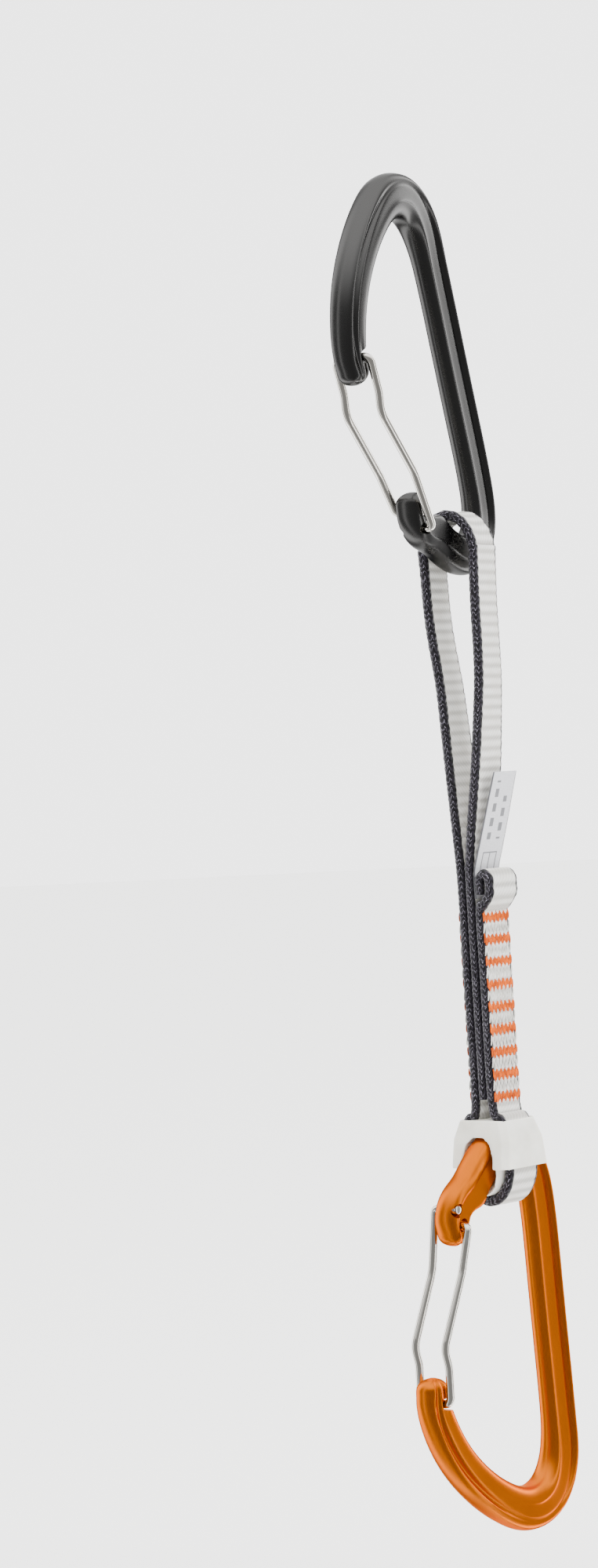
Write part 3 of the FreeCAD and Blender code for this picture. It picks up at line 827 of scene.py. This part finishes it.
FLOOR_Z, FLOOR_HALF = -0.346, 6
corners = [(x * FLOOR_HALF, y * FLOOR_HALF, FLOOR_Z)
           for x, y in ((-1, -1), (1, -1), (1, 1), (-1, 1))]
floor_mesh = bpy.data.meshes.new("floor")
floor_mesh.from_pydata(corners, [], [(0, 1, 2, 3)])
floor = put("floor", floor_mesh)
pale = Surface("floor_pale")
pale.set(Base_Color=(0.87, 0.87, 0.86), Roughness=0.9)
floor_mesh.materials.append(pale.mat)
floor.visible_glossy = False

# Light strips round the object, for reflections: place (0.5 is towards the camera), strength
STRIPS = ((0.0, 2.5), (0.035, 2.5), (0.05, 0.4), (0.10, 0.4), (0.12, 3.8), (0.20, 3.8),
          (0.22, 0.35), (0.285, 0.25), (0.30, 2.2), (0.315, 2.2), (0.33, 0.34), (0.50, 0.26),
          (0.66, 0.32), (0.675, 4.0), (0.695, 4.0), (0.71, 0.4), (0.775, 0.5), (0.79, 1.1),
          (0.825, 1.3), (0.84, 8.0), (0.89, 8.0), (0.905, 0.4), (0.95, 0.4), (0.965, 2.5),
          (1.0, 2.5))
STRIP_SCALE = 10.0              # a colour ramp's stops stay under 1
OVERHEAD, SOFT_LOW, SOFT_RISE, BACKDROP = 2.5, 0.5, 5.6, 3.5

world = bpy.data.worlds.new("studio")
bpy.context.scene.world = world
world.use_nodes = True
W = Net(world.node_tree)
W.tree.nodes.clear()
sky = W.put("ShaderNodeOutputWorld")
direction = W.put("ShaderNodeTexCoord").outputs["Generated"]


def dot(vec):
    """How far the direction that the world is seen in points along vec."""
    return W.put("ShaderNodeVectorMath", {0: direction, 1: tuple(vec)},
                 operation="DOT_PRODUCT").outputs["Value"]


turn = W.add(W.math("DIVIDE", W.math("ARCTAN2", dot(right), dot(back)), 2 * math.pi), 0.5)
ramp = W.put("ShaderNodeValToRGB", {0: turn})
stops = ramp.color_ramp.elements
while len(stops) > 1:
    stops.remove(stops[-1])
stops[0].position = 0.0
for i, (place, strength) in enumerate(STRIPS):
    stop = stops[0] if i == 0 else stops.new(place)
    stop.color = (*[strength / STRIP_SCALE] * 3, 1.0)
height = dot(up)
top = W.remap(height, 0.45, 0.85, 0.0, 1.0)
strips = W.mul(ramp.outputs[0], STRIP_SCALE)
studio = W.add(W.mul(strips, W.math("SUBTRACT", 1.0, top)), W.mul(top, OVERHEAD))
soft_light = W.add(SOFT_LOW, W.remap(height, 0.3, 0.9, 0.0, SOFT_RISE))
rays = W.put("ShaderNodeLightPath")
seen = W.put("ShaderNodeMix", {0: rays.outputs["Is Diffuse Ray"], 2: studio, 3: soft_light},
             data_type="FLOAT")
WHITE = (1.0, 1.0, 1.0, 1.0)
around = W.put("ShaderNodeBackground", {"Strength": seen.outputs[0], "Color": WHITE})
plain = W.put("ShaderNodeBackground", {"Strength": BACKDROP, "Color": WHITE})
either = W.put("ShaderNodeMixShader", {0: rays.outputs["Is Camera Ray"]})
W.link(around.outputs[0], either.inputs[1])
W.link(plain.outputs[0], either.inputs[2])
W.link(either.outputs[0], sky.inputs[0])

LIT = Vector((0.012, 0.0, -0.16))       # the middle of the object, which the lights face


def area(name, offset, size, power):
    """Soft light at an offset from the object: towards the camera, to the right, up."""
    data = bpy.data.lights.new(name, "AREA")
    data.shape, data.size, data.size_y, data.energy = "RECTANGLE", size[0], size[1], power
    obj = put(name, data)
    place = LIT + back * offset[0] + right * offset[1] + up * offset[2]
    obj.location = place
    obj.rotation_euler = (LIT - place).to_track_quat("-Z", "Y").to_euler()
    obj.visible_glossy = False


area("key", (0.35, 0.85, 0.5), (0.4, 0.6), 11.0)
area("fill", (0.45, -0.85, 0.2), (0.4, 0.9), 2.0)

# ------------------------------------------------------------ camera
# LOOK is the point that places the camera: DEPTH ahead of it, and off its middle ray by AIM, to
# the right and up for each unit ahead. Lens and sensor height are in millimetres.
SENSOR, LENS, ROLL, DEPTH = 36.0, 78.609305, -3.66, 0.864
LOOK = Vector((0.0216661, 0.0, -0.1556))
AIM = (0.05269187, -0.01775487)

shot = bpy.data.cameras.new("camera")
shot.sensor_fit = "VERTICAL"
shot.sensor_height, shot.lens = SENSOR, LENS
shot.clip_start, shot.clip_end = 0.05, 30.0
camera = put("camera", shot)
bpy.context.scene.camera = camera
roll = math.radians(ROLL)
camera_x = math.cos(roll) * right + math.sin(roll) * up
camera_y = -math.sin(roll) * right + math.cos(roll) * up
ray = camera_x * AIM[0] + camera_y * AIM[1] - back
basis = Matrix((camera_x, camera_y, back)).transposed().to_4x4()
camera.matrix_world = Matrix.Translation(LOOK - ray * DEPTH) @ basis
